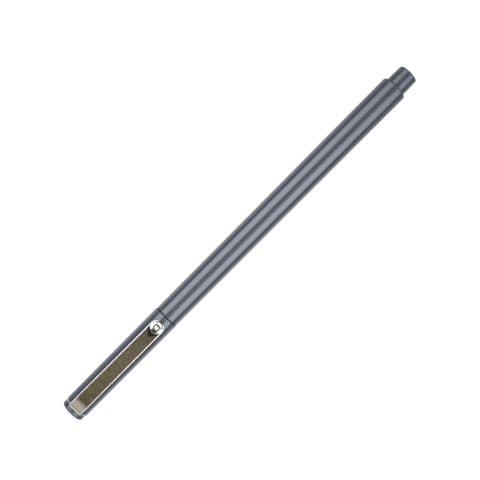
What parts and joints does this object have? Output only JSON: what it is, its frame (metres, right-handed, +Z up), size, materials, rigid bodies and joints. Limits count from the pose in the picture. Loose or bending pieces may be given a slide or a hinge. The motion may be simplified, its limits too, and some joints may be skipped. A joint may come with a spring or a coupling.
{
  "type": "fineliner pen",
  "caption": "Slim round fineliner with a pull-off cap, a sprung metal pocket clip with a round button, a stepped tail that takes the cap, and a fibre nib in a metal sleeve.",
  "frame": {"origin": "centre of the pen's length and width, on the surface that it lies on", "axes": "+X along the pen from the tail to the writing end and cap, +Z up through the clip"},
  "size_m": [0.136, 0.008, 0.0093],
  "materials": {
    "slate_plastic": "satin moulded slate blue-grey",
    "section_plastic": "fine-textured dark moulding",
    "clip_nickel": "polished nickel plate with a faint warm tone",
    "button_nickel": "bright polished nickel",
    "sleeve_steel": "drawn stainless tube",
    "nib_fibre": "ink-stained fibre point",
    "reservoir_fibre": "ink-soaked fibre",
    "reservoir_film": "thin clear film",
    "liner_plastic": "natural polyethylene"
  },
  "bodies": {
    "pen": {"barrel": "slate_plastic", "tail_plug": "slate_plastic", "section": "section_plastic", "nib_sleeve": "sleeve_steel", "nib": "nib_fibre", "ink_reservoir": "reservoir_fibre", "reservoir_film": "reservoir_film"},
    "cap": {"cap_tube": "slate_plastic", "cap_crown": "slate_plastic", "inner_cap": "liner_plastic", "clip_washer": "clip_nickel"},
    "clip": {"clip_arm": "clip_nickel", "clip_button": "button_nickel"}
  },
  "joints": [
    {"name": "cap_pull", "type": "slide", "parent": "pen", "child": "cap", "axis": [1, 0, 0], "range_m": [0, 0.045]},
    {"name": "clip_flex", "type": "hinge", "parent": "cap", "child": "clip", "pos_m": [0.06601, 0, 0.00791], "axis": [0, 1, 0], "range_deg": [0, 5], "stiffness_Nm_per_rad": 0.4, "springref_deg": -1.72}
  ]
}
